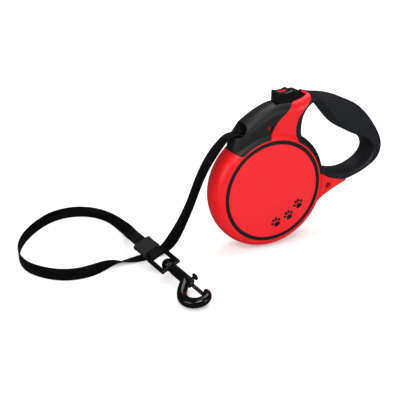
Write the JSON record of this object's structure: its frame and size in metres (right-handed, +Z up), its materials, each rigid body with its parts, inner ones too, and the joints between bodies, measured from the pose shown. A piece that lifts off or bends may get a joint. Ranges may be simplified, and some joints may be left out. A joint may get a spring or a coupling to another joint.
{
  "type": "retractable leash",
  "caption": "Hand-held retractable leash: round case with loop handle, brake button and lock lever, spring-wound tape reel, tape with sleeve, swivel eye and bolt snap.",
  "frame": {"origin": "centre of the reel axle on the case's parting plane", "axes": "+X back towards the handle, Y along the reel axle with the front face at -Y, +Z up when the case stands upright"},
  "size_m": [0.3519, 0.2171, 0.1539],
  "materials": {
    "red_shell": "satin",
    "black_shell": "fine grain",
    "grip_rubber": "soft touch, fine texture",
    "cap_red": "matte",
    "face_red": "satin",
    "ring_grey": "matte",
    "button_black": "gloss",
    "mark_red": "gloss",
    "reel_plastic": "natural",
    "steel": "bright",
    "spring_steel": "blued",
    "webbing": "woven nylon",
    "sleeve_rubber": "matte",
    "black_metal": "gloss black"
  },
  "bodies": {
    "case": {"front_shell": "red_shell", "rear_shell": "red_shell", "front_nose": "black_shell", "rear_nose": "black_shell", "front_grip": "grip_rubber", "rear_grip": "grip_rubber", "front_face_plate": "face_red", "rear_face_plate": "face_red", "front_face_ring": "ring_grey", "rear_face_ring": "ring_grey", "screw_caps": "cap_red", "case_screws": "steel", "axle_screws": "steel", "reel_axle": "steel", "mouth_guide": "black_shell", "roller_pin": "steel", "lock_pin": "steel", "brake_spring": "spring_steel"},
    "reel": {"reel_drum": "reel_plastic", "reel_side_plate": "reel_plastic", "wound_tape": "webbing", "power_spring": "spring_steel"},
    "roller": {"guide_roller": "black_shell"},
    "brake": {"brake_button": "button_black", "button_mark": "mark_red", "brake_pawl": "steel"},
    "lock": {"lock_lever": "button_black"},
    "leash": {"leash_tape": "webbing", "tape_sleeve": "sleeve_rubber", "tape_loop": "webbing"},
    "eye": {"swivel_eye": "black_metal"},
    "hook": {"swivel_stud": "black_metal", "snap_hook": "black_metal", "bolt_spring": "spring_steel"},
    "bolt": {"hook_bolt": "black_metal"}
  },
  "joints": [
    {"name": "leash_pull", "type": "slide", "parent": "case", "child": "leash", "axis": [-0.9781, 0, 0.2079], "range_m": [0, 0.0402]},
    {"name": "reel_spin", "type": "hinge", "parent": "case", "child": "reel", "pos_m": [0, 0, 0], "axis": [0, -1, 0], "continuous": true},
    {"name": "roller_spin", "type": "hinge", "parent": "case", "child": "roller", "pos_m": [-0.02762, 0, 0.05259], "axis": [0, 1, 0], "continuous": true},
    {"name": "brake_press", "type": "slide", "parent": "case", "child": "brake", "axis": [0, 0, -1], "range_m": [0, 0.005], "stiffness_N_per_m": 400, "deforming": ["brake_spring"]},
    {"name": "lock_tip", "type": "hinge", "parent": "case", "child": "lock", "pos_m": [0.0286, 0, 0.0814], "axis": [0, 1, 0], "range_deg": [0, 18]},
    {"name": "eye_pivot", "type": "hinge", "parent": "leash", "child": "eye", "pos_m": [-0.1153, -0.0084, -0.044], "axis": [0.9276, 0.194, 0.3194], "range_deg": [-25, 25]},
    {"name": "hook_swivel", "type": "hinge", "parent": "eye", "child": "hook", "pos_m": [-0.1153, -0.0084, -0.044], "axis": [0.2326, -0.9687, -0.0872], "continuous": true},
    {"name": "bolt_slide", "type": "slide", "parent": "hook", "child": "bolt", "axis": [-0.2326, 0.9687, 0.0872], "range_m": [0, 0.007]}
  ],
  "couplings": [
    {"joint": "reel_spin", "follows": "leash_pull", "rad_per_m": 20.833},
    {"joint": "roller_spin", "follows": "leash_pull", "rad_per_m": -416.67}
  ]
}
